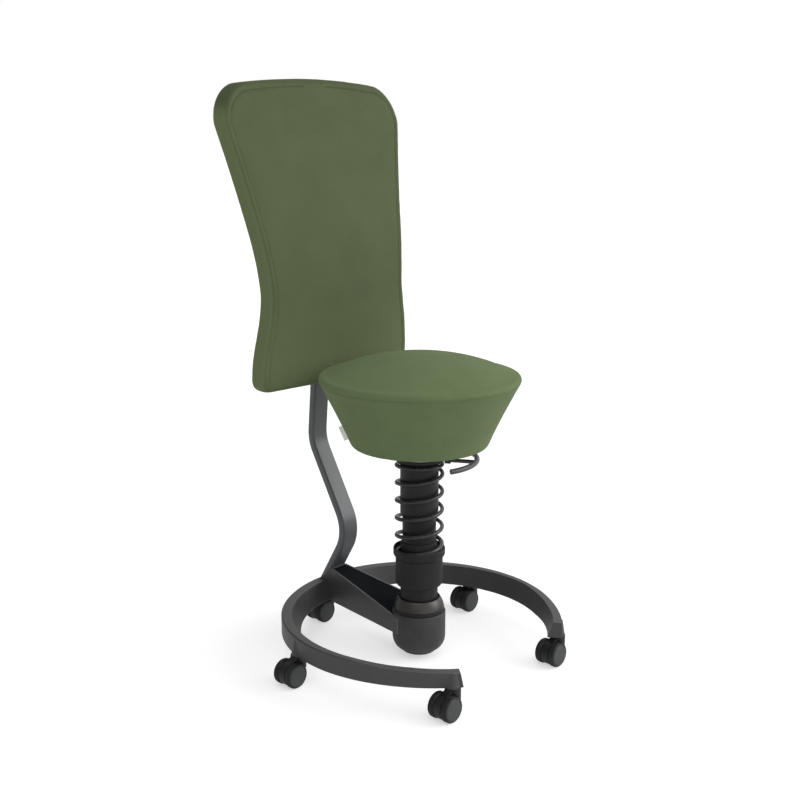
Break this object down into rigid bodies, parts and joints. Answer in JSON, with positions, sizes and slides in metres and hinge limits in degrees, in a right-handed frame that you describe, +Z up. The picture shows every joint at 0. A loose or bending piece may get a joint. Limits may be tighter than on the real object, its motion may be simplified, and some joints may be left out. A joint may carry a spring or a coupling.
{
  "type": "balance stool with backrest",
  "caption": "Active sitting stool: domed cone seat on a sprung, tilting and height-adjusting column, with a tall upholstered backrest on a bent bar and an open castor ring.",
  "frame": {"origin": "on the floor under the column axis, which is the tilt joint axis at rest", "axes": "+Z up along the column; the sitter faces -Y, towards the opening of the base ring; +Y is the backrest side"},
  "size_m": [0.52, 0.5262, 1.018],
  "materials": {
    "powder_grey": "fine powder coat",
    "cover_black": "satin",
    "satin_plastic": "satin",
    "spring_black": "gloss",
    "zinc_steel": "satin",
    "buffer_rubber": "matt",
    "seat_fabric": "microfibre",
    "tag_fabric": "matt",
    "castor_grey": "satin",
    "wheel_black": "gloss"
  },
  "bodies": {
    "base": {"base_ring": "powder_grey", "base_arm": "powder_grey", "arm_cover": "cover_black", "back_bar": "powder_grey", "lower_housing": "powder_grey", "foot_cap": "buffer_rubber", "yoke_bolt": "zinc_steel", "lower_yoke": "zinc_steel", "tilt_buffer": "buffer_rubber", "socket_dome": "satin_plastic", "back_cushion": "seat_fabric", "back_shell": "satin_plastic", "back_bracket": "powder_grey", "back_screws": "zinc_steel"},
    "tilt_ring": {"tilt_ring": "satin_plastic"},
    "tilt_cross": {"tilt_cross": "zinc_steel"},
    "column_foot": {"upper_yoke": "zinc_steel", "ball_skirt": "satin_plastic", "neck_sleeve": "satin_plastic", "stand_tube": "zinc_steel", "guide_bush": "satin_plastic", "piston_rod": "zinc_steel"},
    "lift_column": {"inner_tube": "satin_plastic", "spring_cup": "satin_plastic", "gas_cylinder": "powder_grey", "bump_stop": "buffer_rubber", "coil_spring": "spring_black"},
    "preload_ring": {"preload_ring": "satin_plastic"},
    "seat_carrier": {"upper_sleeve": "satin_plastic", "spring_flange": "satin_plastic"},
    "seat": {"thrust_washer": "zinc_steel", "seat_plate": "powder_grey", "seat_pan": "satin_plastic", "seat_cushion": "seat_fabric", "seat_tag": "tag_fabric", "lever_bracket": "satin_plastic"},
    "lever": {"release_lever": "spring_black"},
    "castor_1": {"castor_1_body": "castor_grey", "castor_1_pins": "zinc_steel"},
    "castor_1_left": {"castor_1_wheel_left": "wheel_black"},
    "castor_1_right": {"castor_1_wheel_right": "wheel_black"},
    "castor_2": {"castor_2_body": "castor_grey", "castor_2_pins": "zinc_steel"},
    "castor_2_left": {"castor_2_wheel_left": "wheel_black"},
    "castor_2_right": {"castor_2_wheel_right": "wheel_black"},
    "castor_3": {"castor_3_body": "castor_grey", "castor_3_pins": "zinc_steel"},
    "castor_3_left": {"castor_3_wheel_left": "wheel_black"},
    "castor_3_right": {"castor_3_wheel_right": "wheel_black"},
    "castor_4": {"castor_4_body": "castor_grey", "castor_4_pins": "zinc_steel"},
    "castor_4_left": {"castor_4_wheel_left": "wheel_black"},
    "castor_4_right": {"castor_4_wheel_right": "wheel_black"},
    "castor_5": {"castor_5_body": "castor_grey", "castor_5_pins": "zinc_steel"},
    "castor_5_left": {"castor_5_wheel_left": "wheel_black"},
    "castor_5_right": {"castor_5_wheel_right": "wheel_black"}
  },
  "joints": [
    {"name": "tilt_fore", "type": "hinge", "parent": "base", "child": "tilt_cross", "pos_m": [0, 0, 0.0834], "axis": [1, 0, 0], "range_deg": [-1, 5], "stiffness_Nm_per_rad": 160},
    {"name": "tilt_side", "type": "hinge", "parent": "tilt_cross", "child": "column_foot", "pos_m": [0, 0, 0.0834], "axis": [0, 1, 0], "range_deg": [-5, 5], "stiffness_Nm_per_rad": 160},
    {"name": "tilt_ring_turn", "type": "hinge", "parent": "base", "child": "tilt_ring", "pos_m": [0, 0, 0.088], "axis": [0, 0, 1], "range_deg": [-90, 90]},
    {"name": "height_lift", "type": "slide", "parent": "column_foot", "child": "lift_column", "axis": [0, 0, 1], "range_m": [0, 0.12]},
    {"name": "seat_bounce", "type": "slide", "parent": "lift_column", "child": "seat_carrier", "axis": [0, 0, 1], "range_m": [-0.05, 0], "stiffness_N_per_m": 12000, "springref_m": 0.008, "deforming": ["coil_spring"]},
    {"name": "preload_turn", "type": "hinge", "parent": "lift_column", "child": "preload_ring", "pos_m": [0, 0, 0.197], "axis": [0, 0, 1], "range_deg": [-180, 180]},
    {"name": "seat_swivel", "type": "hinge", "parent": "seat_carrier", "child": "seat", "pos_m": [0, 0, 0.376], "axis": [0, 0, 1], "continuous": true},
    {"name": "lever_press", "type": "hinge", "parent": "seat", "child": "lever", "pos_m": [0.02521, -0.04548, 0.3665], "axis": [-0.8746, -0.4848, 0], "range_deg": [0, 3], "stiffness_Nm_per_rad": 2, "springref_deg": -171.89},
    {"name": "castor_1_swivel", "type": "hinge", "parent": "base", "child": "castor_1", "pos_m": [0.14333, -0.2047, 0.065], "axis": [0, 0, 1], "continuous": true},
    {"name": "castor_1_left_spin", "type": "hinge", "parent": "castor_1", "child": "castor_1_left", "pos_m": [0.12383, -0.2047, 0.022], "axis": [0, 1, 0], "continuous": true},
    {"name": "castor_1_right_spin", "type": "hinge", "parent": "castor_1", "child": "castor_1_right", "pos_m": [0.12383, -0.2047, 0.022], "axis": [0, 1, 0], "continuous": true},
    {"name": "castor_2_swivel", "type": "hinge", "parent": "base", "child": "castor_2", "pos_m": [0.23047, 0.07046, 0.065], "axis": [0, 0, 1], "continuous": true},
    {"name": "castor_2_left_spin", "type": "hinge", "parent": "castor_2", "child": "castor_2_left", "pos_m": [0.21097, 0.07046, 0.022], "axis": [0, 1, 0], "continuous": true},
    {"name": "castor_2_right_spin", "type": "hinge", "parent": "castor_2", "child": "castor_2_right", "pos_m": [0.21097, 0.07046, 0.022], "axis": [0, 1, 0], "continuous": true},
    {"name": "castor_3_swivel", "type": "hinge", "parent": "base", "child": "castor_3", "pos_m": [0, 0.241, 0.065], "axis": [0, 0, 1], "continuous": true},
    {"name": "castor_3_left_spin", "type": "hinge", "parent": "castor_3", "child": "castor_3_left", "pos_m": [-0.0195, 0.241, 0.022], "axis": [0, 1, 0], "continuous": true},
    {"name": "castor_3_right_spin", "type": "hinge", "parent": "castor_3", "child": "castor_3_right", "pos_m": [-0.0195, 0.241, 0.022], "axis": [0, 1, 0], "continuous": true},
    {"name": "castor_4_swivel", "type": "hinge", "parent": "base", "child": "castor_4", "pos_m": [-0.23047, 0.07046, 0.065], "axis": [0, 0, 1], "continuous": true},
    {"name": "castor_4_left_spin", "type": "hinge", "parent": "castor_4", "child": "castor_4_left", "pos_m": [-0.24997, 0.07046, 0.022], "axis": [0, 1, 0], "continuous": true},
    {"name": "castor_4_right_spin", "type": "hinge", "parent": "castor_4", "child": "castor_4_right", "pos_m": [-0.24997, 0.07046, 0.022], "axis": [0, 1, 0], "continuous": true},
    {"name": "castor_5_swivel", "type": "hinge", "parent": "base", "child": "castor_5", "pos_m": [-0.14333, -0.2047, 0.065], "axis": [0, 0, 1], "continuous": true},
    {"name": "castor_5_left_spin", "type": "hinge", "parent": "castor_5", "child": "castor_5_left", "pos_m": [-0.16283, -0.2047, 0.022], "axis": [0, 1, 0], "continuous": true},
    {"name": "castor_5_right_spin", "type": "hinge", "parent": "castor_5", "child": "castor_5_right", "pos_m": [-0.16283, -0.2047, 0.022], "axis": [0, 1, 0], "continuous": true}
  ]
}
